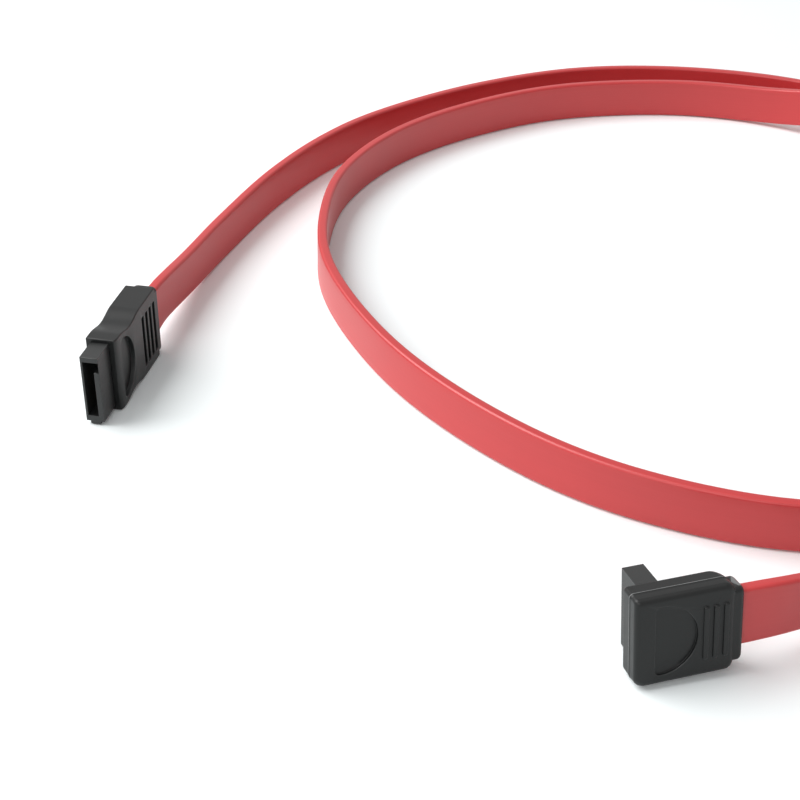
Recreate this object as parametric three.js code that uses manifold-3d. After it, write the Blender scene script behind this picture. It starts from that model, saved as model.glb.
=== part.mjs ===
// Flat data cable with a straight plug on one end and a right-angle plug on the other.
// Millimetres, +Z up. The floor is z = 0 and the origin is midway between the two plugs.
import * as THREE from 'three';
import { mergeVertices } from 'three/addons/utils/BufferGeometryUtils.js';
import Module from 'manifold-3d';

const wasm = await Module();
wasm.setup();

// Flat cable
const CABLE_W = 8.9; // across the ribbon
const CABLE_T = 2.0;
const CABLE_EDGE_R = 0.7;
const CABLE_STEPS = 82;
const A_CABLE_IN = 6.5; // jacket held inside the straight plug
const B_CABLE_IN = 4.1; // and inside the right-angle plug
const CABLE_FIT = 0.17; // jacket to its bore, and jacket end to the wires

// Receptacle: the nose that goes over the drive's tongue
const NOSE_W = 12.4;
const NOSE_T = 3.2;
const NOSE_OUT = 5.1; // stands proud of the grip
const NOSE_FIT = 0.15; // housing to the grip's window
const SLOT_L = 10.4;
const SLOT_T = 1.85;
const SLOT_DEPTH = 6.5;
const SLOT_WALL = 0.4; // thin wall beside the slot
const SLOT_SHIFT = 0.05; // slot off the nose's middle, away from the guide rib
const KEY_L = 1.85; // short leg of the L
const KEY_T = 0.85;
const GUIDE_W = 1.75;
const GUIDE_H = 0.55;
const GUIDE_FIT = 0.3; // rib to the front of the grip

// Contacts, pin 1 next to the guide rib
const PINS = 7;
const PITCH = 1.27;
const PIN1_FROM_SLOT_END = 0.45;
const CONTACT_W = 0.5;
const CONTACT_T = 0.2;
const CONTACT_LIP = 0.6; // plastic left in front of the channels
const CONTACT_BOW = 0.6; // spring bump into the slot
const CONTACT_BOW_AT = 2.4; // top of the bump from the nose's face
const CONTACT_BOW_L = 2.6; // from there back to the straight part
const CONTACT_TIP = 0.25; // tip to the front of its channel
const CONTACT_BACK = 0.12; // strip to the channel's floor
const CHANNEL_W = 0.75;
const CHANNEL_DEPTH = 0.75;
const TAIL_L = 3.4; // solder tail behind or beside the housing
const TAIL_COVER = 0.55; // housing left behind the side tails

// Wires
const CORE_D = 1.1;
const CONDUCTOR_D = 0.45;
const DRAIN_D = 0.4;
const SOLDER_GAP = 0.05;
const WIRE_LAP = 1.9; // bare conductor over the tail
const DRAIN_GATHER = 0.905; // the drains lie closer together inside the jacket
const GROUND_PINS = [1, 4, 7];

// Straight plug, standing on its narrow side
const A_LEN = 19.5;
const A_W = 13.8;
const A_T = 5.4;
const A_EDGE_R = 0.22;
const A_FRONT_IN = 0.45; // the marked side rounds in by this at the front
const A_FRONT_RUN = 1.6; // over this length
const A_WAIST = 0.7; // each narrow side dips by this
const A_WAIST_START = 2.0;
const A_WAIST_AT = 6.8;
const A_WAIST_END = 11.8;
const A_HOUSING_IN = 3.9;
const A_NOSE_SHIFT = -0.25; // nose off the middle, away from the marked side
const A_CABLE_SHIFT = 0.5; // collar and cable off the middle, towards the marked side
const A_GROOVES = 4;
const A_GROOVE_W = 1.1;
const A_GROOVE_L = 9.8;
const A_GROOVE_DROP = 0.3; // below the middle
const A_GROOVE_DEPTH = 0.6;
const A_GROOVE_PITCH = 1.85;
const A_GROOVE_FIRST = 12.8; // from the front
const A_POCKET_FROM_FRONT = 2.1;
const A_POCKET_W = 5.7;
const A_POCKET_H = 11.3;
const A_POCKET_DEPTH = 0.75; // D-shaped, left bare
const A_COLLAR_W = 13.1;
const A_COLLAR_T = 4.4;
const A_COLLAR_R = 0.9;
const A_COLLAR_L = 1.7; // beyond the grip

// Right-angle plug, leaning back a little
const B_LEN = 14.6;
const B_W = 13.8;
const B_T = 4.3;
const B_CORNER_R = [0.6, 1.5, 1.2, 1.4]; // nose end top, cable end top and bottom, nose end bottom
const B_FRONT_R = 0.8;
const B_BACK_R = 0.25;
const B_HEEL = 1.5; // rounding of the back towards the cable
const B_HOUSING_IN = 3.25;
const B_NOSE_AT = 11.1; // nose middle from the cable end
const B_NOSE_RAISE = 0.4; // nose and cable above the grip's middle
const B_RIBS = 3;
const B_RIB_W = 0.8;
const B_RIB_L = 8.4;
const B_RIB_H = 0.3;
const B_RIB_PITCH = 1.48;
const B_RIB_FIRST = 1.45; // middle of the first rib from the cable end
const B_POCKET_FROM_END = 2.9;
const B_POCKET_W = 6.2;
const B_POCKET_H = 10.8;
const B_POCKET_DEPTH = 0.45;
const B_COLLAR_W = 11.7;
const B_COLLAR_T = 3.9;
const B_COLLAR_R = 0.75;
const B_COLLAR_L = 1.4; // beyond the grip

// Both grips
const POCKET_CORNER_R = 0.8;
const COLLAR_ROOT = 2.5; // collar inside the grip
const WIRE_ROOM_FIT = 0.225; // outermost contact channel to the wire room's side
const WIRE_ROOM_T = 2.8;

// Where the plugs lie
const A_POS = new THREE.Vector2(-47.612, 22.338); // middle of the front face
const A_YAW = THREE.MathUtils.degToRad(-100.2);
const A_LEAN = THREE.MathUtils.degToRad(1.15); // a touch to its plain side
const B_POS = new THREE.Vector2(49.076, -37.617); // middle of the cable end
const B_YAW = THREE.MathUtils.degToRad(196.4);
const B_LEAN = THREE.MathUtils.degToRad(9); // the cable tips it back towards its nose
const B_TILT = THREE.MathUtils.degToRad(-2.2); // the cable holds its end up a little

// The lie of the cable between the plugs: x, y, lift off the floor
const ROUTE = [
  [-39.2, 63.8, 0.9], [-34.7, 81.6, 0], [-26.4, 105.6, 0], [-16.4, 125.7, 0], [-5.0, 141.0, 0],
  [19.9, 162.3, 0], [46.8, 175.6, 0], [73.8, 178.3, 0], [99.7, 172.6, 0], [118.7, 159.8, 0],
  [130.2, 136.0, 0], [133.2, 101.0, 0], [128.2, 64.0, 0], [117.2, 31.0, 0], [102.2, 5.5, 0],
  [84.2, -9.4, 0], [63.4, -10.8, 0], [44.2, -5.8, 0], [28.1, 3.2, 0], [11.0, 19.7, 0],
  [-1.8, 38.6, 0], [-12.4, 65.8, 0], [-14.0, 88.8, 0], [-11.0, 108.8, 0], [-0.6, 130.1, 0],
  [16.2, 147.9, 0], [40.2, 162.8, 0], [70.8, 168.4, 0], [94.2, 162.5, 0.9], [110.7, 149.0, 5.0],
  [121.2, 127.5, 8.9], [127.7, 103.0, 9.9], [132.7, 77.0, 9.9], [134.4, 51.0, 8.2], [131.7, 22.5, 4.2],
  [122.7, -4.0, 0.9], [107.2, -18.8, 0], [86.2, -24.2, 0.2], [68.85, -27.45, 1.2],
];
const ROUTE_START = 6; // straight run out of each plug
const CABLE_REST = 0.15; // the ribbon's lower edge off the floor
const LEAN_RUN = 45; // the cable turns upright over this length
const A_EXIT_ROLL = THREE.MathUtils.degToRad(3.5); // leans to the marked side past the collar

// Finishes
const FINISH = {
  jacket: { color: 0xd8474a, roughness: 0.38, metalness: 0 },
  grip: { color: 0x343636, roughness: 0.55, metalness: 0 },
  housing: { color: 0x2b2d2e, roughness: 0.42, metalness: 0 },
  contact: { color: 0xd9b45b, roughness: 0.25, metalness: 1 },
  core: { color: 0xe9e9e4, roughness: 0.45, metalness: 0 },
  drain: { color: 0xc4c6c8, roughness: 0.3, metalness: 1 },
};

function mesh(name, geometry, finish) {
  const m = new THREE.Mesh(geometry, new THREE.MeshStandardMaterial(FINISH[finish]));
  m.name = name;
  return m;
}

function toSolid(geometry) {
  let g = geometry.clone();
  g.deleteAttribute('normal');
  g.deleteAttribute('uv');
  g = mergeVertices(g, 1e-4);
  const vertProperties = new Float32Array(g.attributes.position.array);
  const triVerts = new Uint32Array(g.index.array);
  return new wasm.Manifold(new wasm.Mesh({ numProp: 3, vertProperties, triVerts }));
}

function toGeometry(solid) {
  const m = solid.getMesh();
  const g = new THREE.BufferGeometry();
  g.setAttribute('position', new THREE.BufferAttribute(new Float32Array(m.vertProperties), 3));
  g.setIndex(new THREE.BufferAttribute(new Uint32Array(m.triVerts), 1));
  g.computeVertexNormals();
  return g;
}

// A box from its two opposite corners
function block(x0, x1, y0, y1, z0, z1) {
  const g = new THREE.BoxGeometry(x1 - x0, y1 - y0, z1 - z0);
  return g.translate((x0 + x1) / 2, (y0 + y1) / 2, (z0 + z1) / 2);
}

// Points round a rectangle with rounded corners, as [u, v]; radius is one value or one per corner
function roundedRect(u0, u1, v0, v1, radius, perCorner = 4) {
  const pts = [];
  for (const [quarter, [u, v, inU, inV]] of [[u1, v1, -1, -1], [u0, v1, 1, -1], [u0, v0, 1, 1],
    [u1, v0, -1, 1]].entries()) {
    const r = Array.isArray(radius) ? radius[quarter] : radius;
    for (let i = 0; i <= perCorner; i++) {
      const a = (quarter + i / perCorner) * Math.PI / 2;
      pts.push([u + r * (inU + Math.cos(a)), v + r * (inV + Math.sin(a))]);
    }
  }
  return pts;
}

// A closed skin over rings of equal count, with flat ends
function loft(rings) {
  const n = rings[0].length;
  const position = rings.flat().flatMap((p) => p.toArray());
  const index = [];
  for (let k = 0; k + 1 < rings.length; k++) {
    for (let i = 0; i < n; i++) {
      const a = k * n + i;
      const b = k * n + (i + 1) % n;
      index.push(a, b, b + n, a, b + n, a + n);
    }
  }
  const last = (rings.length - 1) * n;
  for (let i = 1; i + 1 < n; i++) {
    index.push(0, i + 1, i);
    index.push(last, last + i, last + i + 1);
  }
  let volume = 0;
  const p = (i) => new THREE.Vector3().fromArray(position, 3 * i);
  for (let i = 0; i < index.length; i += 3) {
    volume += p(index[i]).dot(p(index[i + 1]).cross(p(index[i + 2])));
  }
  if (volume < 0) index.reverse(); // faces point out whichever way the rings run
  const g = new THREE.BufferGeometry();
  g.setAttribute('position', new THREE.Float32BufferAttribute(position, 3));
  g.setIndex(index);
  return g;
}

// Stations through a length with a quarter-round at each end: [distance, inset]
function roundedEnds(length, rStart, rEnd, middle = [], steps = 4) {
  const out = [];
  for (let i = 0; i <= steps; i++) {
    const a = (i / steps) * Math.PI / 2;
    out.push([rStart * (1 - Math.cos(a)), rStart * (1 - Math.sin(a))]);
  }
  for (const s of middle) out.push([s, 0]);
  for (let i = steps; i >= 0; i--) {
    const a = (i / steps) * Math.PI / 2;
    out.push([length - rEnd * (1 - Math.cos(a)), rEnd * (1 - Math.sin(a))]);
  }
  return out;
}

// Straight grip: front face at x = 0, cable end at x = -A_LEN, standing on z = 0
function gripA() {
  const mid = A_W / 2;
  const dip = (s) => {
    if (s <= A_WAIST_START || s >= A_WAIST_END) return 0;
    const t = s < A_WAIST_AT ? (s - A_WAIST_START) / (A_WAIST_AT - A_WAIST_START)
      : (A_WAIST_END - s) / (A_WAIST_END - A_WAIST_AT);
    return A_WAIST * (1 - Math.cos(Math.PI * t)) / 2;
  };
  const rounded = (s) => (s >= A_FRONT_RUN ? 0
    : A_FRONT_IN * (1 - Math.sqrt(1 - (1 - s / A_FRONT_RUN) ** 2)));
  const middle = [0.25, 0.45, 0.7, 1, 1.4].map((share) => share * A_FRONT_RUN / 1.4);
  const waistSteps = 12;
  for (let i = 0; i <= waistSteps; i++) {
    middle.push(A_WAIST_START + (i / waistSteps) * (A_WAIST_END - A_WAIST_START));
  }
  const stations = roundedEnds(A_LEN, A_EDGE_R, A_EDGE_R, middle);
  const rings = stations.map(([s, inset]) => {
    const hz = A_W / 2 - dip(s) - inset;
    const hy = A_T / 2 - inset;
    const marked = A_T / 2 - Math.max(inset, rounded(s));
    const outline = roundedRect(-hy, marked, mid - hz, mid + hz, A_EDGE_R);
    return outline.map(([y, z]) => new THREE.Vector3(-s, y, z));
  });
  return toSolid(loft(rings));
}

// Right-angle grip: cable end at x = 0, nose side at y = -B_T / 2, standing on z = 0
function gripB() {
  const stations = roundedEnds(B_T, B_BACK_R, B_FRONT_R, [B_T * 0.25, B_T * 0.5, B_T * 0.65]);
  const rings = stations.map(([s, inset]) => {
    const back = Math.max(0, 1 - s / (B_T / 2)); // 1 at the back face, 0 from the parting line on
    const heel = B_HEEL * (1 - Math.sqrt(1 - back * back));
    const r = B_CORNER_R.map((full) => full - inset * 0.5);
    const pts = roundedRect(heel + inset, B_LEN - inset, inset, B_W - inset, r);
    return pts.map(([x, z]) => new THREE.Vector3(x, s - B_T / 2, z));
  });
  return toSolid(loft(rings));
}

// Collar round the cable, pointing to -x from x = at
function collar(at, midY, midZ, length, width, thickness, r) {
  const stations = roundedEnds(length + COLLAR_ROOT, 0.01, r);
  const rings = stations.map(([s, inset]) => {
    const hy = thickness / 2 - inset;
    const hz = width / 2 - inset;
    const pts = roundedRect(midY - hy, midY + hy, midZ - hz, midZ + hz, r);
    return pts.map(([y, z]) => new THREE.Vector3(at + COLLAR_ROOT - s, y, z));
  });
  return toSolid(loft(rings));
}

// D-shaped pocket cutter in the x-z plane; its round side points to -x from straight side x
function pocket(x, midZ, faceY, width, height, deep) {
  const r = height / 2;
  const soft = POCKET_CORNER_R; // where the straight side meets the arc
  const shape = new THREE.Shape();
  shape.moveTo(x, midZ - r + soft);
  shape.lineTo(x, midZ + r - soft);
  shape.absarc(x - soft, midZ + r - soft, soft, 0, Math.PI / 2, false);
  shape.absellipse(x - soft, midZ, width - soft, r, Math.PI / 2, Math.PI * 1.5, false, 0);
  shape.absarc(x - soft, midZ - r + soft, soft, -Math.PI / 2, 0, false);
  const depth = deep + 1;
  const g = new THREE.ExtrudeGeometry(shape, { depth, bevelEnabled: false, curveSegments: 14 });
  g.rotateX(Math.PI / 2); // extrusion now runs to -y and the shape stands in x-z
  g.translate(0, faceY + 1, 0);
  return toSolid(g);
}

// Receptacle frame: +X out of the nose from the grip's face, Y across the thickness, Z along the
// width with the key at +Z; the contacts lie on the +Y side
const slotY0 = -NOSE_T / 2 + SLOT_WALL;
const slotY1 = slotY0 + SLOT_T;
const slotZ0 = SLOT_SHIFT - SLOT_L / 2;
const slotZ1 = slotZ0 + SLOT_L;
const channelY1 = slotY1 + CHANNEL_DEPTH;
const channelFront = NOSE_OUT - CONTACT_LIP;
const stripY = channelY1 - CONTACT_BACK - CONTACT_T / 2; // middle of the contact strip
const pinZ = (pin) => slotZ0 + PIN1_FROM_SLOT_END + (pin - 1) * PITCH;
const wireRoomW = 2 * (Math.max(-pinZ(1), pinZ(PINS)) + CHANNEL_W / 2 + WIRE_ROOM_FIT);

function housing(inside, sideTails, guided) {
  let body = toSolid(block(-inside, NOSE_OUT, -NOSE_T / 2, NOSE_T / 2, -NOSE_W / 2, NOSE_W / 2));
  if (guided) {
    const low = -NOSE_W / 2 - GUIDE_H;
    const half = GUIDE_W / 2;
    body = body.add(toSolid(block(GUIDE_FIT, NOSE_OUT, -half, half, low, low + GUIDE_H + 0.2)));
  }
  const slotFloor = NOSE_OUT - SLOT_DEPTH;
  body = body.subtract(toSolid(block(slotFloor, NOSE_OUT + 1, slotY0, slotY1, slotZ0, slotZ1)));
  const keyLeg = block(slotFloor, NOSE_OUT + 1, slotY1 - 0.1, slotY1 + KEY_T, slotZ1 - KEY_L, slotZ1);
  body = body.subtract(toSolid(keyLeg));
  for (let pin = 1; pin <= PINS; pin++) {
    const z0 = pinZ(pin) - CHANNEL_W / 2;
    const z1 = pinZ(pin) + CHANNEL_W / 2;
    const back = sideTails ? -tailDepthB - CONTACT_T / 2 - CONTACT_BACK : -inside - 1;
    body = body.subtract(toSolid(block(back, channelFront, slotY1 - 0.1, channelY1, z0, z1)));
    if (sideTails) {
      const side = block(back, back + CONTACT_T + 2 * CONTACT_BACK, -NOSE_T, channelY1, z0, z1);
      body = body.subtract(toSolid(side));
    }
  }
  return toGeometry(body);
}

// A bent strip: its middle line in x-y, extruded across the pin's width
function strip(points, pin) {
  const pts = points.map(([x, y]) => new THREE.Vector2(x, y));
  const side = (sign) => pts.map((p, i) => {
    const before = p.clone().sub(pts[Math.max(i - 1, 0)]).normalize();
    const after = pts[Math.min(i + 1, pts.length - 1)].clone().sub(p).normalize();
    const along = before.add(after).normalize();
    const cosHalf = i === 0 || i === pts.length - 1 ? 1
      : Math.abs(along.dot(pts[i + 1].clone().sub(p).normalize()));
    return new THREE.Vector2(p.x - along.y * sign, p.y + along.x * sign).sub(p)
      .multiplyScalar(CONTACT_T / 2 / cosHalf).add(p);
  });
  const shape = new THREE.Shape([...side(1), ...side(-1).reverse()]);
  const g = new THREE.ExtrudeGeometry(shape, { depth: CONTACT_W, bevelEnabled: false });
  return g.translate(0, 0, pinZ(pin) - CONTACT_W / 2);
}

const bowTop = NOSE_OUT - CONTACT_BOW_AT;
const springPart = [
  [channelFront - CONTACT_TIP, stripY - CONTACT_T / 2], [bowTop, stripY - CONTACT_BOW],
  [bowTop - CONTACT_BOW_L, stripY],
];
const tailDepthB = B_HOUSING_IN - TAIL_COVER;
const contactA = (pin) => strip([...springPart, [-A_HOUSING_IN - TAIL_L, stripY]], pin);
const contactB = (pin) => strip([
  ...springPart, [-tailDepthB, stripY], [-tailDepthB, -NOSE_T / 2 - TAIL_L],
], pin);

// A round wire from x0 to x1 along -x to +x, bare beyond xBare; z0 and z1 are its ends' heights
function wire(x0, xBare, x1, y, z0, z1, d, bareD) {
  const profile = [[0, 0], [d / 2, 0]];
  if (bareD) profile.push([d / 2, xBare - x0], [bareD / 2, xBare - x0]);
  const length = Math.hypot(x1 - x0, z1 - z0);
  profile.push([(bareD || d) / 2, length], [0, length]);
  const g = new THREE.LatheGeometry(profile.map(([r, h]) => new THREE.Vector2(r, h)), 10);
  g.rotateZ(-Math.PI / 2);
  g.rotateY(-Math.atan2(z1 - z0, x1 - x0));
  return g.translate(x0, y, z0);
}

// Both plugs: tailEnd is the free end of the solder tails, in the grip's frame
function wires(group, plug, cableEnd, tailEnd, y, gripMid, noseMid) {
  let core = 1;
  let drain = 1;
  for (let pin = 1; pin <= PINS; pin++) {
    const z = noseMid + pinZ(pin);
    const x0 = cableEnd + CABLE_FIT;
    if (GROUND_PINS.includes(pin)) {
      const zIn = gripMid + (z - gripMid) * DRAIN_GATHER;
      const g = wire(x0, 0, tailEnd + WIRE_LAP, y, zIn, z, DRAIN_D, 0);
      group.add(mesh(`${plug}_drain_wire_${drain++}`, g, 'drain'));
    } else {
      const g = wire(x0, tailEnd - 0.2, tailEnd + WIRE_LAP, y, z, z, CORE_D, CONDUCTOR_D);
      group.add(mesh(`${plug}_signal_core_${core++}`, g, 'core'));
    }
  }
}

// Puts a turned plug down on the floor
function setDown(plug) {
  plug.updateMatrixWorld(true);
  plug.position.z = -new THREE.Box3().setFromObject(plug, true).min.z;
  return plug;
}

// Straight plug
function straightPlug() {
  const plug = new THREE.Group();
  const mid = A_W / 2;
  const window = (NOSE_T / 2 + NOSE_FIT);
  const windowZ = (NOSE_W / 2 + NOSE_FIT);
  const cableEnd = -A_LEN - A_COLLAR_L + A_CABLE_IN;
  const bore = CABLE_T / 2 + CABLE_FIT;
  const boreZ = CABLE_W / 2 + CABLE_FIT;
  const collarA = collar(-A_LEN, A_CABLE_SHIFT, mid, A_COLLAR_L, A_COLLAR_W, A_COLLAR_T, A_COLLAR_R);
  let grip = gripA().add(collarA);
  grip = grip.subtract(toSolid(block(-A_HOUSING_IN - 0.3, 1, A_NOSE_SHIFT - window, A_NOSE_SHIFT + window,
    mid - windowZ, mid + windowZ)));
  grip = grip.subtract(toSolid(block(cableEnd - 0.5, -A_HOUSING_IN, -WIRE_ROOM_T / 2, WIRE_ROOM_T / 2,
    mid - wireRoomW / 2, mid + wireRoomW / 2)));
  const boreA = block(-A_LEN - A_COLLAR_L - 1, cableEnd + CABLE_FIT, A_CABLE_SHIFT - bore,
    A_CABLE_SHIFT + bore, mid - boreZ, mid + boreZ);
  grip = grip.subtract(toSolid(boreA));
  grip = grip.subtract(pocket(-A_POCKET_FROM_FRONT, mid, A_T / 2, A_POCKET_W, A_POCKET_H, A_POCKET_DEPTH));
  for (const side of [-1, 1]) {
    for (let i = 0; i < A_GROOVES; i++) {
      const x = -A_GROOVE_FIRST - i * A_GROOVE_PITCH;
      const inner = side * (A_T / 2 - A_GROOVE_DEPTH);
      const outer = side * (A_T / 2 + 1);
      const low = mid - A_GROOVE_DROP - A_GROOVE_L / 2;
      grip = grip.subtract(toSolid(block(x - A_GROOVE_W / 2, x + A_GROOVE_W / 2,
        Math.min(inner, outer), Math.max(inner, outer), low, low + A_GROOVE_L)));
    }
  }
  plug.add(mesh('straight_plug_grip', toGeometry(grip), 'grip'));

  const receptacle = new THREE.Group();
  receptacle.position.set(0, A_NOSE_SHIFT, mid);
  receptacle.add(mesh('straight_plug_housing', housing(A_HOUSING_IN, false, true), 'housing'));
  for (let pin = 1; pin <= PINS; pin++) {
    receptacle.add(mesh(`straight_plug_contact_${pin}`, contactA(pin), 'contact'));
  }
  plug.add(receptacle);
  const wireY = A_NOSE_SHIFT + stripY - CONTACT_T / 2 - SOLDER_GAP - CONDUCTOR_D / 2;
  wires(plug, 'straight_plug', cableEnd, -A_HOUSING_IN - TAIL_L, wireY, mid, mid);
  plug.position.set(A_POS.x, A_POS.y, 0);
  plug.rotation.set(A_LEAN, 0, A_YAW, 'ZYX');
  return setDown(plug);
}

// Right-angle plug
function anglePlug() {
  const plug = new THREE.Group();
  const mid = B_W / 2;
  const noseMid = mid + B_NOSE_RAISE;
  const back = -B_T / 2;
  const cableEnd = -B_COLLAR_L + B_CABLE_IN;
  const windowX = NOSE_T / 2 + NOSE_FIT;
  const windowZ = NOSE_W / 2 + NOSE_FIT;
  const bore = CABLE_T / 2 + CABLE_FIT;
  const boreZ = CABLE_W / 2 + CABLE_FIT;
  let grip = gripB().add(collar(0, 0, mid, B_COLLAR_L, B_COLLAR_W, B_COLLAR_T, B_COLLAR_R));
  grip = grip.subtract(toSolid(block(B_NOSE_AT - windowX, B_NOSE_AT + windowX, back - 1,
    back + B_HOUSING_IN + 0.15, noseMid - windowZ, noseMid + windowZ)));
  grip = grip.subtract(toSolid(block(cableEnd - 0.5, B_NOSE_AT, -WIRE_ROOM_T / 2, WIRE_ROOM_T / 2,
    noseMid - wireRoomW / 2, noseMid + wireRoomW / 2)));
  const boreB = block(-B_COLLAR_L - 1, cableEnd + CABLE_FIT, -bore, bore,
    noseMid - boreZ, noseMid + boreZ);
  grip = grip.subtract(toSolid(boreB));
  const endB = B_LEN - B_POCKET_FROM_END;
  grip = grip.subtract(pocket(endB, mid, B_T / 2, B_POCKET_W, B_POCKET_H, B_POCKET_DEPTH));
  for (let i = 0; i < B_RIBS; i++) {
    const x = B_RIB_FIRST + i * B_RIB_PITCH;
    const rib = new THREE.CapsuleGeometry(B_RIB_W / 2, B_RIB_L - B_RIB_W, 4, 10);
    rib.rotateX(Math.PI / 2);
    rib.scale(1, B_RIB_H / (B_RIB_W / 2), 1);
    rib.translate(x, B_T / 2, mid);
    grip = grip.add(toSolid(rib));
  }
  plug.add(mesh('angle_plug_grip', toGeometry(grip), 'grip'));

  const receptacle = new THREE.Group();
  receptacle.position.set(B_NOSE_AT, back, noseMid);
  receptacle.rotation.z = -Math.PI / 2; // the nose points to -y and the contacts lie at +x
  receptacle.add(mesh('angle_plug_housing', housing(B_HOUSING_IN, true, false), 'housing'));
  for (let pin = 1; pin <= PINS; pin++) {
    receptacle.add(mesh(`angle_plug_contact_${pin}`, contactB(pin), 'contact'));
  }
  plug.add(receptacle);
  const wireY = back + tailDepthB - CONTACT_T / 2 - SOLDER_GAP - CONDUCTOR_D / 2;
  wires(plug, 'angle_plug', cableEnd, B_NOSE_AT - NOSE_T / 2 - TAIL_L, wireY, noseMid, noseMid);
  plug.position.set(B_POS.x, B_POS.y, 0);
  plug.rotation.set(B_LEAN, -B_TILT, B_YAW, 'ZYX');
  return setDown(plug);
}

// The cable stands on its edge, upright all along but for the stretches into the leaning plugs
class RibbonPath extends THREE.CatmullRomCurve3 {
  computeFrenetFrames(segments) {
    const tangents = [];
    const normals = [];
    const binormals = [];
    const length = this.getLength();
    for (let i = 0; i <= segments; i++) {
      const u = i / segments;
      const t = this.getTangentAt(u);
      const side = new THREE.Vector3(-t.y, t.x, 0).normalize();
      const up = new THREE.Vector3().crossVectors(t, side);
      const nearA = 1 - THREE.MathUtils.smoothstep(u * length, ROUTE_START, LEAN_RUN);
      const nearB = THREE.MathUtils.smoothstep(u * length, length - LEAN_RUN, length - ROUTE_START);
      const roll = THREE.MathUtils.smoothstep(u * length, A_CABLE_IN, A_CABLE_IN + 10)
        - THREE.MathUtils.smoothstep(u * length, A_CABLE_IN + 10, A_CABLE_IN + LEAN_RUN);
      const lean = B_LEAN * nearB - A_LEAN * nearA + A_EXIT_ROLL * roll;
      tangents.push(t);
      normals.push(side.clone().multiplyScalar(Math.cos(lean)).addScaledVector(up, Math.sin(lean)));
      binormals.push(up.clone().multiplyScalar(Math.cos(lean)).addScaledVector(side, -Math.sin(lean)));
    }
    return { tangents, normals, binormals };
  }
}

function cable(plugA, plugB) {
  plugA.updateMatrixWorld(true);
  plugB.updateMatrixWorld(true);
  const inA = (x) => plugA.localToWorld(new THREE.Vector3(x, A_CABLE_SHIFT, A_W / 2));
  const inB = (x) => plugB.localToWorld(new THREE.Vector3(x, 0, B_W / 2 + B_NOSE_RAISE));
  const endA = -A_LEN - A_COLLAR_L;
  const points = [inA(endA + A_CABLE_IN), inA(endA), inA(endA - ROUTE_START)];
  for (const [x, y, lift] of ROUTE) points.push(new THREE.Vector3(x, y, CABLE_W / 2 + CABLE_REST + lift));
  points.push(inB(-B_COLLAR_L - ROUTE_START), inB(-B_COLLAR_L), inB(-B_COLLAR_L + B_CABLE_IN));
  const path = new RibbonPath(points, false, 'centripetal');
  path.arcLengthDivisions = 2000;
  const hx = CABLE_T / 2;
  const hy = CABLE_W / 2;
  const outline = roundedRect(-hx, hx, -hy, hy, CABLE_EDGE_R, 1);
  const shape = new THREE.Shape(outline.map(([x, y]) => new THREE.Vector2(x, y)));
  return new THREE.ExtrudeGeometry(shape, { steps: CABLE_STEPS, extrudePath: path });
}

const object = new THREE.Group();
const plugA = straightPlug();
const plugB = anglePlug();
object.add(plugA, plugB, mesh('cable', cable(plugA, plugB), 'jacket'));
object.updateMatrixWorld(true);

export default object;
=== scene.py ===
"""A red flat data cable on its edge in a loose loop, with a straight plug and a right-angle plug."""
import math

import bmesh
import bpy
from mathutils import Matrix, Vector


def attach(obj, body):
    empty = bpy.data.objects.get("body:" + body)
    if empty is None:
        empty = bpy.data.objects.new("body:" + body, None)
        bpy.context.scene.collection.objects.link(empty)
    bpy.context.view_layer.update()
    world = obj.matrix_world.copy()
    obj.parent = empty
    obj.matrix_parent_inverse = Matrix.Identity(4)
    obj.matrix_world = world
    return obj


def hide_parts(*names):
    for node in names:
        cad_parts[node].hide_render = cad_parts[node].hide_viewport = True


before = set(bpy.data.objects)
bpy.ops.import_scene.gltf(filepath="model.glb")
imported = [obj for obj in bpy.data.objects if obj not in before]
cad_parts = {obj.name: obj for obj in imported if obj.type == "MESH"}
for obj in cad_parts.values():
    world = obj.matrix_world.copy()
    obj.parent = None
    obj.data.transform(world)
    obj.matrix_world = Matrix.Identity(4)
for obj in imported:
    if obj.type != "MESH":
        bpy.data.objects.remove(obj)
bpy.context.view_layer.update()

MM = 0.001

# ---- Camera, at the photograph's viewpoint ----

CAMERA_AT = (2.701, -193.649, 140.886)  # mm
CAMERA_DOWN = 0.565520  # radians below the horizon
CAMERA_ROLL = 0.032374
LENS = 67.1875  # mm on a 36 mm sensor


def place_camera():
    level = Vector((1, 0, 0))
    rise = Vector((0, math.sin(CAMERA_DOWN), math.cos(CAMERA_DOWN)))
    ahead = Vector((0, math.cos(CAMERA_DOWN), -math.sin(CAMERA_DOWN)))
    right = level * math.cos(CAMERA_ROLL) + rise * math.sin(CAMERA_ROLL)
    up = rise * math.cos(CAMERA_ROLL) - level * math.sin(CAMERA_ROLL)
    data = bpy.data.cameras.new("camera")
    data.lens, data.sensor_width = LENS, 36
    data.clip_start, data.clip_end = 0.01, 20
    camera = bpy.data.objects.new("camera", data)
    bpy.context.scene.collection.objects.link(camera)
    turn = Matrix((right, up, -ahead)).transposed().to_4x4()
    camera.matrix_world = Matrix.Translation(Vector(CAMERA_AT) * MM) @ turn
    bpy.context.scene.camera = camera


place_camera()

# ---- Where the plugs lie, as in the part's source; lengths in mm ----

A_POS, A_YAW, A_LEAN = (-47.612, 22.338, 0.0498), math.radians(-100.2), math.radians(1.15)
B_POS, B_YAW = (49.076, -37.617, 0.8037), math.radians(196.4)
B_LEAN, B_TILT = math.radians(9), math.radians(-2.2)
A_FRAME = (Matrix.Translation(A_POS) @ Matrix.Rotation(A_YAW, 4, "Z")
           @ Matrix.Rotation(A_LEAN, 4, "X"))
B_FRAME = (Matrix.Translation(B_POS) @ Matrix.Rotation(B_YAW, 4, "Z")
           @ Matrix.Rotation(-B_TILT, 4, "Y") @ Matrix.Rotation(B_LEAN, 4, "X"))

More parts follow.
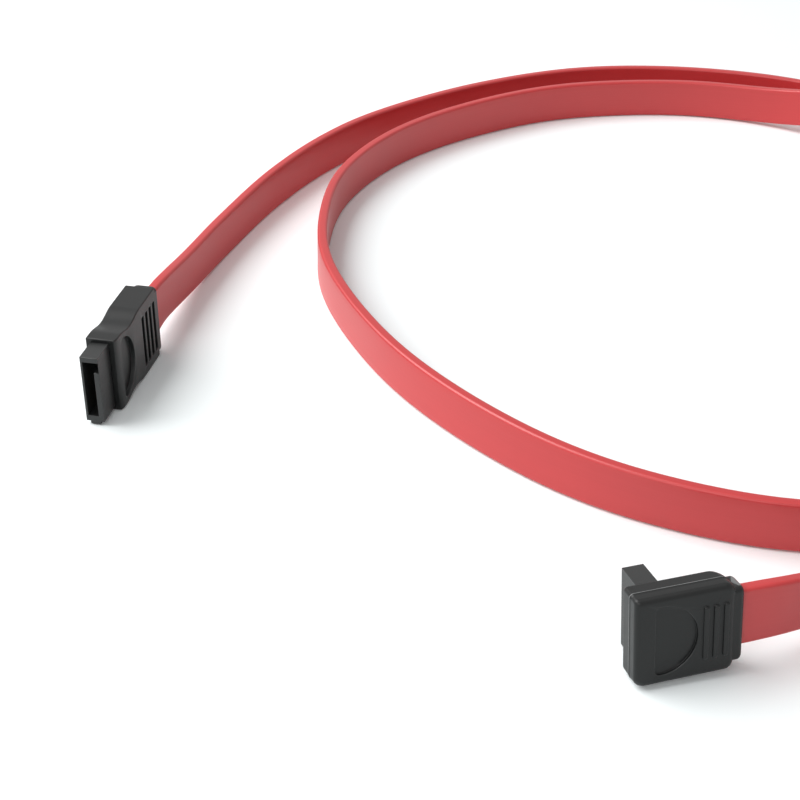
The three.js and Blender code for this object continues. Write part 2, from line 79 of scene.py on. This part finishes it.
A_LEN, A_W, A_T = 19.5, 13.8, 5.4
A_EDGE_R, A_FRONT_IN, A_FRONT_RUN = 0.22, 0.45, 1.6
A_WAIST, A_WAIST_START, A_WAIST_AT, A_WAIST_END = 0.7, 2.0, 6.8, 11.8
A_NOSE_SHIFT, A_CABLE_SHIFT, A_HOUSING_IN, A_CABLE_IN = -0.25, 0.5, 3.9, 6.5
A_POCKET_FROM_FRONT, A_POCKET = 2.1, (5.7, 11.3, 0.75)  # width, height, depth
A_COLLAR = 1.7, 13.1, 4.4, 0.9  # length, width, thickness, rounding
A_GROOVES, A_GROOVE_FIRST, A_GROOVE_PITCH = 4, 12.8, 1.85
A_GROOVE_W, A_GROOVE_L, A_GROOVE_DEPTH, A_GROOVE_DROP, A_GROOVE_R = 1.1, 9.8, 0.6, 0.3, 0.25
B_LEN, B_W, B_T = 14.6, 13.8, 4.3
B_FRONT_R, B_BACK_R, B_HEEL = 0.8, 0.25, 1.5
B_CORNER_R = 0.6, 1.5, 1.2, 1.4  # nose end top, cable end top and bottom, nose end bottom
B_NOSE_AT, B_NOSE_RAISE, B_HOUSING_IN, B_CABLE_IN = 11.1, 0.4, 3.25, 4.1
B_POCKET_FROM_END, B_POCKET = 2.9, (6.2, 10.8, 0.45)
B_COLLAR = 1.4, 11.7, 3.9, 0.75
B_RIBS, B_RIB_FIRST, B_RIB_PITCH, B_RIB_W, B_RIB_L, B_RIB_H = 3, 1.45, 1.48, 0.8, 8.4, 0.3
# Parting line of the mould: half its width at the foot and the top, and its height
SEAM_FOOT, SEAM_TOP, SEAM_H = 0.17, 0.06, 0.07
COLLAR_ROOT = 2.5  # inside the grip
A_END, B_END = -A_LEN - A_COLLAR[0], -B_COLLAR[0]  # where the cable comes out
POCKET_CORNER_R = 0.8
NOSE_W, NOSE_T = 12.4, 3.2
WIRE_ROOM_W, WIRE_ROOM_T = 10.600, 2.8
CABLE_W, CABLE_T, CABLE_EDGE_R = 8.9, 2.0, 0.55
CLOSE_FIT = 0.03  # nose and jacket to the grip moulded round them
MOULD_R = 0.07  # rounding of moulded edges
SLIVER = 0.004  # edges shorter than this are dropped
FACE, SEAM_HIGHLIGHT, EDGE_HIGHLIGHT = 0, 1, 2  # which finish a grip's face takes: plain, the parting line's painted highlight, or the rounded edges' painted highlight

# ---- The cable ----

# The lie between the plugs: x, y and lift off the floor, in metres
ROUTE = [
    (-.0392, .0638, .0009), (-.0347, .0816, 0), (-.0264, .1056, 0), (-.0164, .1257, 0),
    (-.0050, .1410, 0), (.0199, .1623, 0), (.0468, .1756, 0), (.0738, .1783, 0),
    (.0997, .1726, 0), (.1187, .1598, 0), (.1302, .1360, 0), (.1332, .1010, 0),
    (.1282, .0640, 0), (.1172, .0310, 0), (.1022, .0055, 0), (.0842, -.0094, 0),
    (.0634, -.0108, 0), (.0442, -.0058, 0), (.0281, .0032, 0), (.0110, .0197, 0),
    (-.0018, .0386, 0), (-.0124, .0658, 0), (-.0140, .0888, 0), (-.0110, .1088, 0),
    (-.0006, .1301, 0), (.0162, .1479, 0), (.0402, .1628, 0), (.0708, .1684, 0),
    (.0942, .1625, .0009), (.1107, .1490, .0050), (.1212, .1275, .0089), (.1277, .1030, .0099),
    (.1327, .0770, .0099), (.1344, .0510, .0082), (.1317, .0225, .0042), (.1227, -.0040, .0009),
    (.1072, -.0188, 0), (.0862, -.0242, .0002), (.06885, -.02745, .0012),
]
ROUTE_START = 6
CABLE_REST = 0.15
LEAN_RUN = 0.045
B_LEAN_RUN = 0.020  # the ribbon turns upright sooner at the right-angle plug
A_EXIT_ROLL, EXIT_RUN = math.radians(3.5), 0.01  # rolls over this length past the straight plug
STATION = 0.002  # from one section of the ribbon to the next


def route_points():
    in_a = lambda x: A_FRAME @ Vector((x, A_CABLE_SHIFT, A_W / 2)) * MM
    in_b = lambda x: B_FRAME @ Vector((x, 0, B_W / 2 + B_NOSE_RAISE)) * MM
    middle = (CABLE_W / 2 + CABLE_REST) * MM
    points = [in_a(A_END + A_CABLE_IN), in_a(A_END), in_a(A_END - ROUTE_START)]
    points += [Vector((x, y, middle + lift)) for x, y, lift in ROUTE]
    return points + [in_b(B_END - ROUTE_START), in_b(B_END), in_b(B_END + B_CABLE_IN)]


def smooth_line(points, per_span=60):
    """A centripetal Catmull-Rom line through the points, in short steps."""
    ends = [2 * points[0] - points[1]] + points + [2 * points[-1] - points[-2]]
    line = []
    for p0, p1, p2, p3 in zip(ends, ends[1:], ends[2:], ends[3:]):
        d0, d1, d2 = ((b - a).length ** 0.5 for a, b in ((p0, p1), (p1, p2), (p2, p3)))
        out = ((p1 - p0) / d0 - (p2 - p0) / (d0 + d1) + (p2 - p1) / d1) * d1
        come = ((p2 - p1) / d1 - (p3 - p1) / (d1 + d2) + (p3 - p2) / d2) * d1
        for i in range(per_span):
            t = i / per_span
            line.append(p1 + out * t + (3 * (p2 - p1) - 2 * out - come) * t ** 2
                        + (2 * (p1 - p2) + out + come) * t ** 3)
    return line + [points[-1]]


def even_stations(line, step):
    """The same line in equal steps of its length, and the length."""
    run = [0.0]
    for a, b in zip(line, line[1:]):
        run.append(run[-1] + (b - a).length)
    count = round(run[-1] / step)
    stations, k = [], 0
    for i in range(count + 1):
        at = run[-1] * i / count
        while k + 2 < len(run) and run[k + 1] < at:
            k += 1
        share = (at - run[k]) / (run[k + 1] - run[k])
        stations.append(line[k].lerp(line[k + 1], min(share, 1.0)))
    return stations, run[-1]


def rounded_rect(u0, u1, v0, v1, radius, per_corner=5):
    """Points round a rectangle; radius is one value or one per corner."""
    points = []
    corners = ((u1, v1, -1, -1), (u0, v1, 1, -1), (u0, v0, 1, 1), (u1, v0, -1, 1))
    for quarter, (u, v, in_u, in_v) in enumerate(corners):
        r = radius[quarter] if isinstance(radius, tuple) else radius
        for i in range(per_corner + 1):
            a = (quarter + i / per_corner) * math.pi / 2
            points.append((u + r * (in_u + math.cos(a)), v + r * (in_v + math.sin(a))))
    return points


def smoothstep(x, low, high):
    t = min(max((x - low) / (high - low), 0), 1)
    return t * t * (3 - 2 * t)


def ribbon_section():
    """Round the ribbon's section, with extra points along its broad sides, in mm."""
    hx, hy = CABLE_T / 2, CABLE_W / 2
    points = []
    outline = rounded_rect(-hx, hx, -hy, hy, CABLE_EDGE_R, 6)
    for (u0, v0), (u1, v1) in zip(outline, outline[1:] + outline[:1]):
        parts = 6 if abs(v1 - v0) > 3 else 2 if abs(u1 - u0) > 0.5 else 1
        points += [(u0 + (u1 - u0) * i / parts, v0 + (v1 - v0) * i / parts) for i in range(parts)]
    return points


def lay_cable():
    line = smooth_line(route_points())
    stations, length = even_stations(line, STATION)
    section = ribbon_section()
    around = len(section)
    bm = bmesh.new()
    uv = bm.loops.layers.uv.new("jacket_run")
    rings = []
    for i, p in enumerate(stations):
        before, after = stations[max(i - 1, 0)], stations[min(i + 1, len(stations) - 1)]
        along = (after - before).normalized()
        side = Vector((-along.y, along.x, 0)).normalized()
        up = along.cross(side)
        at = length * i / (len(stations) - 1)
        near_a = 1 - smoothstep(at, ROUTE_START * MM, LEAN_RUN)
        near_b = smoothstep(at, length - B_LEAN_RUN, length - B_CABLE_IN * MM)
        out = at - A_CABLE_IN * MM
        roll = smoothstep(out, 0, EXIT_RUN) - smoothstep(out, EXIT_RUN, LEAN_RUN)
        lean = B_LEAN * near_b - A_LEAN * near_a + A_EXIT_ROLL * roll
        across = side * math.cos(lean) + up * math.sin(lean)
        high = up * math.cos(lean) - side * math.sin(lean)
        rings.append([bm.verts.new(p + across * u * MM + high * v * MM) for u, v in section])
    for i, (ring, following) in enumerate(zip(rings, rings[1:])):
        for k in range(around):
            j = (k + 1) % around
            face = bm.faces.new((ring[k], following[k], following[j], ring[j]))
            face.smooth = True
            for loop, (u, v) in zip(face.loops, ((i, k), (i + 1, k), (i + 1, k + 1), (i, k + 1))):
                loop[uv].uv = (u * length / (len(stations) - 1), v / around)
    bm.faces.new(rings[0])
    bm.faces.new(reversed(rings[-1]))
    bmesh.ops.recalc_face_normals(bm, faces=bm.faces)
    ribbon = piece_from(bm, "red_flat_cable", ["cable"])
    path = stations[::5] + ([stations[-1]] if (len(stations) - 1) % 5 else [])
    return ribbon


def piece_from(bm, name, nodes):
    """A finished mesh as a piece of the object, standing for those CAD nodes."""
    mesh = bpy.data.meshes.new(name)
    bm.to_mesh(mesh)
    bm.free()
    piece = bpy.data.objects.new(name, mesh)
    bpy.context.scene.collection.objects.link(piece)
    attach(piece, "root")
    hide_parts(*nodes)
    return piece


cable = lay_cable()

# ---- Solids for the grips, made in mm in each plug's own frame ----


def loft(rings):
    """A closed skin over rings of points, as a mesh object to join or cut with."""
    bm = bmesh.new()
    rows = [[bm.verts.new(p) for p in ring] for ring in rings]
    for row, following in zip(rows, rows[1:]):
        for k in range(len(row)):
            j = (k + 1) % len(row)
            bm.faces.new((row[k], row[j], following[j], following[k]))
    bm.faces.new(reversed(rows[0]))
    bm.faces.new(rows[-1])
    bmesh.ops.recalc_face_normals(bm, faces=bm.faces)
    mesh = bpy.data.meshes.new("solid")
    bm.to_mesh(mesh)
    bm.free()
    solid = bpy.data.objects.new("solid", mesh)
    bpy.context.scene.collection.objects.link(solid)
    return solid


def block(x0, x1, y0, y1, z0, z1):
    ring = lambda x: [(x, y0, z0), (x, y1, z0), (x, y1, z1), (x, y0, z1)]
    return loft([ring(x0), ring(x1)])


def prism(outline, y0, y1):
    """An outline in x and z, from y0 to y1."""
    return loft([[(x, y, z) for x, z in outline] for y in (y0, y1)])


def combine(solid, joins, cuts):
    """Joins and cuts a solid, and takes it out of the scene as one mesh to work on."""
    others = [(o, "UNION") for o in joins] + [(o, "DIFFERENCE") for o in cuts]
    for other, operation in others:
        step = solid.modifiers.new("step", "BOOLEAN")
        step.operation, step.object, step.solver = operation, other, "EXACT"
    shown = solid.evaluated_get(bpy.context.evaluated_depsgraph_get())
    bm = bmesh.new()
    bm.from_mesh(shown.to_mesh())
    shown.to_mesh_clear()
    for o in [solid] + [o for o, _ in others]:
        bpy.data.objects.remove(o)
    return bm


def ease_edges(bm, radius, sharper_than=math.radians(38)):
    """Rounds the moulded edges, which take the painted edge highlight, and leaves the flats flat."""
    bmesh.ops.remove_doubles(bm, verts=bm.verts, dist=1e-4)
    bmesh.ops.triangulate(bm, faces=[face for face in bm.faces if len(face.verts) > 4])
    sharp = [e for e in bm.edges if len(e.link_faces) == 2 and e.calc_face_angle() > sharper_than]
    bmesh.ops.bevel(bm, geom=sharp, offset=radius, segments=2, profile=0.5, affect="EDGES",
                    clamp_overlap=False, material=EDGE_HIGHLIGHT)
    bmesh.ops.dissolve_degenerate(bm, dist=SLIVER, edges=bm.edges)
    for face in bm.faces:
        face.smooth = True


def quarter_rounds(length, start_r, end_r, middle, steps=6):
    """Stations through a length, with a quarter round at each end: (distance, inset)."""
    turn = [i / steps * math.pi / 2 for i in range(steps + 1)]
    start = [(start_r * (1 - math.cos(a)), start_r * (1 - math.sin(a))) for a in turn]
    end = [(length - end_r * (1 - math.cos(a)), end_r * (1 - math.sin(a))) for a in reversed(turn)]
    return start + [(s, 0) if isinstance(s, (int, float)) else s for s in middle] + end


def collar(at, mid_y, mid_z, length, width, thickness, r):
    """Round the cable, pointing to -x from x = at."""
    rings = []
    for s, inset in quarter_rounds(length + COLLAR_ROOT, 0.01, r, []):
        hy, hz = thickness / 2 - inset, width / 2 - inset
        outline = rounded_rect(mid_y - hy, mid_y + hy, mid_z - hz, mid_z + hz, r)
        rings.append([(at + COLLAR_ROOT - s, y, z) for y, z in outline])
    return loft(rings)


def pocket(x, mid_z, face_y, width, height, depth):
    """Cutter for the D-shaped recess: straight side at x, round side towards -x."""
    r, soft = height / 2, POCKET_CORNER_R
    outline = []
    for i in range(5):
        a = i / 4 * math.pi / 2
        outline.append((x - soft + soft * math.cos(a), mid_z + r - soft + soft * math.sin(a)))
    for i in range(1, 36):
        a = math.pi / 2 + i / 36 * math.pi
        outline.append((x - soft + (width - soft) * math.cos(a), mid_z + r * math.sin(a)))
    for i in range(5):
        a = -math.pi / 2 + i / 4 * math.pi / 2
        outline.append((x - soft + soft * math.cos(a), mid_z - r + soft + soft * math.sin(a)))
    return prism(outline, face_y - depth, face_y + 1)


def in_recess(at, x, mid_z, face_y, size):
    """Whether a place is down in the D-shaped recess, where the edges get no painted highlight."""
    width, height, depth = size
    return (x - width - 0.1 < at.x < x + 0.1 and abs(at.z - mid_z) < height / 2 + 0.1
            and face_y - depth - 0.1 < at.y < face_y - 0.12)


def straight_grip():
    mid = A_W / 2

    def dip(s):
        if s <= A_WAIST_START or s >= A_WAIST_END:
            return 0
        if s < A_WAIST_AT:
            t = (s - A_WAIST_START) / (A_WAIST_AT - A_WAIST_START)
        else:
            t = (A_WAIST_END - s) / (A_WAIST_END - A_WAIST_AT)
        return A_WAIST * (1 - math.cos(math.pi * t)) / 2

    waist = [A_EDGE_R + 0.15 + 0.12 * i for i in range(13)]
    waist += [A_WAIST_START + i / 26 * (A_WAIST_END - A_WAIST_START) for i in range(27)]
    rings = []
    for s, inset in quarter_rounds(A_LEN, A_EDGE_R, A_EDGE_R, waist):
        marked = A_FRONT_IN * (1 - math.sqrt(1 - max(1 - s / A_FRONT_RUN, 0) ** 2))
        hz = A_W / 2 - dip(s) - inset
        broad = A_T / 2 - max(inset, marked)
        outline = rounded_rect(-A_T / 2 + inset, broad, mid - hz, mid + hz, A_EDGE_R)
        rings.append([(-s, y, z) for y, z in outline])
    window_y, window_z = NOSE_T / 2 + CLOSE_FIT, NOSE_W / 2 + CLOSE_FIT
    bore_y, bore_z = CABLE_T / 2 + CLOSE_FIT, CABLE_W / 2 + CLOSE_FIT
    cable_end = A_END + A_CABLE_IN
    cuts = [
        block(-A_HOUSING_IN - 0.3, 1, A_NOSE_SHIFT - window_y, A_NOSE_SHIFT + window_y,
              mid - window_z, mid + window_z),
        block(cable_end - 0.5, -A_HOUSING_IN, -WIRE_ROOM_T / 2, WIRE_ROOM_T / 2,
              mid - WIRE_ROOM_W / 2, mid + WIRE_ROOM_W / 2),
        loft([[(x, A_CABLE_SHIFT + y, z) for y, z in rounded_rect(-bore_y, bore_y, mid - bore_z,
                                                                  mid + bore_z, CABLE_EDGE_R)]
              for x in (A_END - 1, cable_end)]),
        pocket(-A_POCKET_FROM_FRONT, mid, A_T / 2, *A_POCKET),
    ]
    for side in (-1, 1):
        deep, out = side * (A_T / 2 - A_GROOVE_DEPTH), side * (A_T / 2 + 1)
        for i in range(A_GROOVES):
            x = -A_GROOVE_FIRST - i * A_GROOVE_PITCH
            low = mid - A_GROOVE_DROP - A_GROOVE_L / 2
            outline = rounded_rect(x - A_GROOVE_W / 2, x + A_GROOVE_W / 2, low, low + A_GROOVE_L,
                                   A_GROOVE_R, 3)
            cuts.append(prism(outline, min(deep, out), max(deep, out)))
    bm = combine(loft(rings), [collar(-A_LEN, A_CABLE_SHIFT, mid, *A_COLLAR)], cuts)
    ease_edges(bm, MOULD_R)
    # faces down in the recess go back to the plain finish, without the painted edge highlight
    for face in bm.faces:
        if in_recess(face.calc_center_median(), -A_POCKET_FROM_FRONT, mid, A_T / 2, A_POCKET):
            face.material_index = FACE
    bm.transform(Matrix.Scale(MM, 4) @ A_FRAME)
    return piece_from(bm, "straight_grip", ["straight_plug_grip"])


def angle_grip():
    mid = B_W / 2
    nose_mid = mid + B_NOSE_RAISE
    back = -B_T / 2
    seam = [B_T / 2 - SEAM_FOOT, (B_T / 2 - SEAM_TOP, -SEAM_H), (B_T / 2 + SEAM_TOP, -SEAM_H),
            B_T / 2 + SEAM_FOOT]
    heel_steps = [B_T * share for share in (0.1, 0.16, 0.22, 0.28, 0.34, 0.4, 0.45)]
    rings = []
    for s, inset in quarter_rounds(B_T, B_BACK_R, B_FRONT_R, heel_steps + seam + [B_T * 0.65]):
        behind = max(0, 1 - s / (B_T / 2))
        heel = B_HEEL * (1 - math.sqrt(1 - behind * behind))
        corner_r = tuple(full - inset * 0.5 for full in B_CORNER_R)
        outline = rounded_rect(heel + inset, B_LEN - inset, inset, B_W - inset, corner_r, 8)
        rings.append([(x, s - B_T / 2, z) for x, z in outline])
    window_x, window_z = NOSE_T / 2 + CLOSE_FIT, NOSE_W / 2 + CLOSE_FIT
    bore_y, bore_z = CABLE_T / 2 + CLOSE_FIT, CABLE_W / 2 + CLOSE_FIT
    cable_end = B_END + B_CABLE_IN
    cuts = [
        block(B_NOSE_AT - window_x, B_NOSE_AT + window_x, back - 1, back + B_HOUSING_IN + 0.15,
              nose_mid - window_z, nose_mid + window_z),
        block(cable_end - 0.5, B_NOSE_AT, -WIRE_ROOM_T / 2, WIRE_ROOM_T / 2,
              nose_mid - WIRE_ROOM_W / 2, nose_mid + WIRE_ROOM_W / 2),
        loft([[(x, y, z) for y, z in rounded_rect(-bore_y, bore_y, nose_mid - bore_z,
                                                  nose_mid + bore_z, CABLE_EDGE_R)]
              for x in (B_END - 1, cable_end)]),
        pocket(B_LEN - B_POCKET_FROM_END, mid, B_T / 2, *B_POCKET),
    ]
    ribs = []
    for i in range(B_RIBS):
        x = B_RIB_FIRST + i * B_RIB_PITCH
        levels = []
        for rise, inset in ((-0.5, 0), (B_RIB_H * 0.7, 0), (B_RIB_H * 0.93, 0.08), (B_RIB_H, 0.2)):
            r, half = B_RIB_W / 2 - inset, B_RIB_L / 2 - inset
            outline = rounded_rect(x - r, x + r, mid - half, mid + half, r * 0.98)
            levels.append([(px, B_T / 2 + rise, pz) for px, pz in outline])
        ribs.append(loft(levels))
    bm = combine(loft(rings), [collar(0, 0, mid, *B_COLLAR)] + ribs, cuts)
    ease_edges(bm, MOULD_R)
    ribs_end = B_RIB_FIRST + B_RIBS * B_RIB_PITCH
    # the parting line takes a paler painted highlight; the ribs and the recess keep the plain
    # finish, without the painted edge highlight
    for face in bm.faces:
        at = face.calc_center_median()
        if abs(at.y) < SEAM_TOP and face.calc_area() < 3:
            face.material_index = SEAM_HIGHLIGHT
        elif at.y > B_T / 2 - 0.1 and 0.5 < at.x < ribs_end and abs(at.z - mid) < B_RIB_L / 2 + 0.3:
            face.material_index = FACE
        elif in_recess(at, B_LEN - B_POCKET_FROM_END, mid, B_T / 2, B_POCKET):
            face.material_index = FACE
    bm.transform(Matrix.Scale(MM, 4) @ B_FRAME)
    return piece_from(bm, "right_angle_grip", ["angle_plug_grip"])


grips = [straight_grip(), angle_grip()]

# ---- Finishes ----


class Wire:
    """A socket in a finish's node tree. Arithmetic on it adds Math nodes."""

    def __init__(self, finish, socket):
        self.finish, self.socket = finish, socket

    def _math(self, operation, first, second):
        return self.finish.node("ShaderNodeMath", {"operation": operation}, {0: first, 1: second})

    def __add__(self, other):
        return self._math("ADD", self, other)

    def __radd__(self, other):
        return self._math("ADD", other, self)

    def __sub__(self, other):
        return self._math("SUBTRACT", self, other)

    def __rsub__(self, other):
        return self._math("SUBTRACT", other, self)

    def __mul__(self, other):
        return self._math("MULTIPLY", self, other)

    def __rmul__(self, other):
        return self._math("MULTIPLY", other, self)


class Finish:
    """A material under construction."""

    def __init__(self, name):
        self.material = bpy.data.materials.new(name)
        self.material.use_nodes = True
        self.tree = self.material.node_tree
        self.surface = self.tree.nodes["Principled BSDF"]

    def node(self, kind, settings=None, sockets=None, out=0):
        made = self.tree.nodes.new(kind)
        for key, value in (settings or {}).items():
            if key == "stops":
                self._stops(made.color_ramp, value)
            else:
                setattr(made, key, value)
        for key, value in (sockets or {}).items():
            self.feed(made.inputs[key], value)
        return Wire(self, made.outputs[out])

    def _stops(self, ramp, stops):
        while len(ramp.elements) < len(stops):
            ramp.elements.new(0.5)
        for element, (at, colour) in zip(ramp.elements, stops):
            element.position, element.color = at, (*colour, 1)

    def feed(self, socket, value):
        if isinstance(value, Wire):
            self.tree.links.new(value.socket, socket)
        else:
            socket.default_value = value

    def set(self, **values):
        for key, value in values.items():
            self.feed(self.surface.inputs[key.replace("_", " ")], value)

    def place(self, stretch=(1, 1, 1), which="Object"):
        """Coordinates over the piece, stretched."""
        at = self.node("ShaderNodeTexCoord", out=which)
        return self.node("ShaderNodeMapping", {}, {"Vector": at, "Scale": stretch})

    def noise(self, at, scale, detail=2.0, roughness=0.5):
        sockets = {"Vector": at, "Scale": scale, "Detail": detail, "Roughness": roughness}
        return self.node("ShaderNodeTexNoise", {}, sockets, out="Fac")

    def blend(self, share, first, second):
        sockets = {0: share, 6: (*first, 1), 7: (*second, 1)}
        return self.node("ShaderNodeMix", {"data_type": "RGBA"}, sockets, out=2)

    def bump(self, height, strength, distance):
        sockets = {"Height": height, "Strength": strength, "Distance": distance}
        self.set(Normal=self.node("ShaderNodeBump", {}, sockets))


def rgb(red, green, blue):
    """A screen colour, 0 to 255, as the light values a shader takes."""
    linear = lambda c: ((c / 255 + 0.055) / 1.055) ** 2.4 if c > 10 else c / 255 / 12.92
    return linear(red), linear(green), linear(blue)


def jacket_finish():
    """Glossy red PVC, with faint streaks along the run from the extruder and a soft mottle."""
    f = Finish("red_pvc_jacket")
    mottle = f.noise(f.place(), 55, 3)
    streaks = f.noise(f.place((3, 90, 1), "UV"), 1.0, 2)
    grain = f.noise(f.place(), 2600, 2)
    shade = mottle * 0.6 + streaks * 0.4
    f.set(Base_Color=f.blend(shade, rgb(182, 41, 43), rgb(197, 52, 54)),
          Roughness=0.30 + mottle * 0.10 + streaks * 0.05)
    f.set(IOR=1.6)
    f.bump(streaks * 0.7 + grain * 0.3, 0.25, 0.00004)
    return f.material


def grip_finish():
    """Black moulded PVC with a fine spark-eroded grain."""
    f = Finish("black_moulded_grip")
    grain = f.noise(f.place(), 9000, 3, 0.6)
    cloud = f.noise(f.place(), 260, 3)
    f.set(Base_Color=f.blend(cloud, rgb(14, 15, 15), rgb(20, 21, 21)))
    f.set(Roughness=0.30 + cloud * 0.12 + grain * 0.06)
    f.set(IOR=1.40)
    f.bump(grain, 0.3, 0.00002)
    return f.material


def housing_finish():
    """Black glass-filled moulding, a little duller than the grip."""
    f = Finish("black_nose_moulding")
    grain = f.noise(f.place(), 7000, 3, 0.65)
    flow = f.noise(f.place((1, 1, 6)), 420, 3)
    f.set(Base_Color=f.blend(flow, rgb(24, 25, 25), rgb(32, 33, 33)))
    f.set(Roughness=0.36 + flow * 0.14)
    f.set(IOR=1.5)
    f.bump(grain, 0.35, 0.00002)
    return f.material


def contact_finish():
    """Gold flash over copper alloy, with rolling marks."""
    f = Finish("gold_flashed_contact")
    rolled = f.noise(f.place((1, 1, 20)), 900, 2)
    f.set(Base_Color=f.blend(rolled, rgb(196, 150, 72), rgb(226, 184, 104)))
    f.set(Roughness=0.24 + rolled * 0.16)
    f.set(Metallic=1.0)
    f.bump(rolled, 0.2, 0.00001)
    return f.material


def core_finish():
    """White foamed insulation."""
    f = Finish("white_wire_insulation")
    mottle = f.noise(f.place(), 1500, 2)
    f.set(Base_Color=f.blend(mottle, rgb(224, 224, 218), rgb(240, 240, 236)))
    f.set(Roughness=0.42 + mottle * 0.1)
    f.bump(mottle, 0.2, 0.00002)
    return f.material


def drain_finish():
    """Tinned copper, drawn."""
    f = Finish("tinned_drain_wire")
    drawn = f.noise(f.place((30, 30, 1)), 600, 2)
    f.set(Base_Color=f.blend(drawn, rgb(182, 184, 188), rgb(214, 216, 218)))
    f.set(Roughness=0.26 + drawn * 0.14)
    f.set(Metallic=1.0)
    f.bump(drawn, 0.2, 0.00001)
    return f.material


FINISHES = {"grip": grip_finish(), "housing": housing_finish(), "contact": contact_finish(),
            "signal_core": core_finish(), "drain_wire": drain_finish()}


def seam_highlight_finish():
    """The parting line's thin flash, painted paler than the moulding as a highlight where it catches
    the light.
    """
    f = Finish("parting_line_painted_highlight")
    seam_noise = f.noise(f.place(), 900, 2)
    # painted highlight: a grey far paler than the black grip, varied at random
    f.set(Base_Color=f.blend(seam_noise, rgb(78, 80, 80), rgb(128, 130, 130)))
    f.set(Roughness=0.34 + seam_noise * 0.1)
    return f.material


def edge_highlight_finish():
    """Rounded edges: glossier than the flats, with a paler colour painted on as a highlight."""
    f = Finish("black_edge_painted_highlight")
    edge_noise = f.noise(f.place(), 1400, 2)
    # painted highlight: a grey paler than the grip's black, varied at random; the lower roughness is
    # the edges' own
    f.set(Base_Color=f.blend(edge_noise, rgb(34, 35, 35), rgb(52, 53, 53)), Roughness=0.16 + edge_noise * 0.1)
    f.set(IOR=1.5)
    return f.material


def dress(piece, *materials):
    if piece.data.materials:
        piece.data.materials.clear()
    for material in materials:
        piece.data.materials.append(material)


dress(cable, jacket_finish())
# the parting line and the rounded edges carry painted highlights
painted_seam_highlight, painted_edge_highlight = seam_highlight_finish(), edge_highlight_finish()
for grip in grips:
    dress(grip, FINISHES["grip"], painted_seam_highlight, painted_edge_highlight)
    grip.modifiers.new("flat_faces_stay_flat", "WEIGHTED_NORMAL").keep_sharp = True


def soften(node, width):
    """A CAD node's crisp edges, eased a little."""
    node.modifiers.new("one_skin", "WELD").merge_threshold = 1e-6
    eased = node.modifiers.new("eased", "BEVEL")
    eased.width, eased.segments, eased.limit_method = width, 2, "ANGLE"
    eased.angle_limit = math.radians(38)
    eased.use_clamp_overlap = False
    # the eased edges take the second finish, a painted highlight
    eased.material = 1
    node.modifiers.new("flat_faces_stay_flat", "WEIGHTED_NORMAL")
    for face in node.data.polygons:
        face.use_smooth = True


for name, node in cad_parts.items():
    kind = next((k for k in FINISHES if k in name and k != "grip"), None)
    if kind:
        dress(node, FINISHES[kind], *([painted_edge_highlight] if kind == "housing" else []))
    if kind == "housing":
        soften(node, MOULD_R * MM)

# ---- Floor, backdrop and light ----


def floor_finish():
    """Pale table: white to the camera but for the shadows on it."""
    f = Finish("pale_floor")
    f.set(Base_Color=(0.895, 0.945, 0.95, 1), Roughness=0.9)
    f.surface.inputs["Emission Color"].default_value = (1, 1, 1, 1)
    f.surface.inputs["Emission Strength"].default_value = 0.055
    return f.material


def studio():
    mesh = bpy.data.meshes.new("floor")
    half = 2.0
    corners = [(-half, -half, 0), (half, -half, 0), (half, half, 0), (-half, half, 0)]
    mesh.from_pydata(corners, [], [(0, 1, 2, 3)])
    floor = bpy.data.objects.new("floor", mesh)
    floor.location.z = -0.00002
    bpy.context.scene.collection.objects.link(floor)
    dress(floor, floor_finish())

    world = bpy.data.worlds.new("studio")
    bpy.context.scene.world = world
    world.use_nodes = True
    tree = world.node_tree
    background = tree.nodes["Background"]
    path = tree.nodes.new("ShaderNodeLightPath")
    strength = 0.17
    for ray, level in (("Is Glossy Ray", 0.8), ("Is Camera Ray", 1.0)):
        pick = tree.nodes.new("ShaderNodeMix")
        tree.links.new(path.outputs[ray], pick.inputs[0])
        if isinstance(strength, float):
            pick.inputs[2].default_value = strength
        else:
            tree.links.new(strength, pick.inputs[2])
        pick.inputs[3].default_value = level
        strength = pick.outputs[0]
    tree.links.new(strength, background.inputs["Strength"])
    background.inputs["Color"].default_value = (1, 1, 1, 1)

    def softbox(name, at, towards, size, power):
        data = bpy.data.lights.new(name, "AREA")
        data.shape, data.size, data.energy = "SQUARE", size, power
        lamp = bpy.data.objects.new(name, data)
        lamp.location = at
        lamp.rotation_euler = (Vector(towards) - Vector(at)).to_track_quat("-Z", "Y").to_euler()
        bpy.context.scene.collection.objects.link(lamp)

    softbox("left_softbox", (-0.62, 0.15, 0.72), (0.03, 0.06, 0), 0.85, 12.8)
    softbox("overhead_softbox", (0.10, 0.0, 0.90), (0.06, 0.05, 0), 0.6, 0.8)
    softbox("front_left_fill", (-0.25, -0.75, 0.55), (0.04, 0.02, 0), 0.7, 2.9)


studio()

bpy.context.scene.view_settings.view_transform = "Standard"
